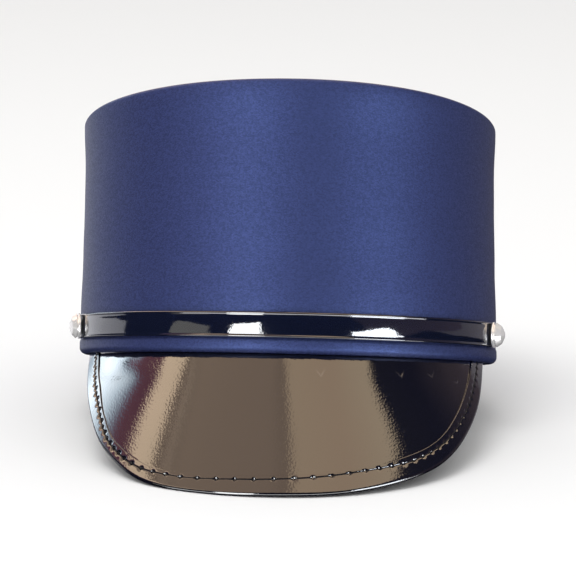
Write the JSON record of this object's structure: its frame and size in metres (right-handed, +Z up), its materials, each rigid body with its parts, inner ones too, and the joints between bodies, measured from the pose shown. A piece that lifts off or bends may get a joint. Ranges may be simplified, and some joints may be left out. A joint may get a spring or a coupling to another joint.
{
  "type": "parade hat",
  "caption": "Stiff drum-shaped parade hat covered in navy satin, with a glossy black peak, a front strap and faceted metal side buttons.",
  "frame": {"origin": "on the surface that the hat stands on, under the middle of its box; the hat is laid back 14 degrees, resting on the lower edge of its peak and the back of its hem", "axes": "+Z up, the front with the peak towards -Y, the wearer's right side towards -X"},
  "size_m": [0.1862, 0.2562, 0.1546],
  "materials": {
    "satin": "navy satin with a soft sheen",
    "patent_black": "black patent sheet, mirror gloss",
    "silver": "bright faceted metal"
  },
  "bodies": {
    "root": {"crown_side": "satin", "crown_top": "satin", "peak": "patent_black", "peak_binding": "patent_black", "front_strap": "patent_black", "button_left": "silver", "button_right": "silver"}
  },
  "joints": []
}
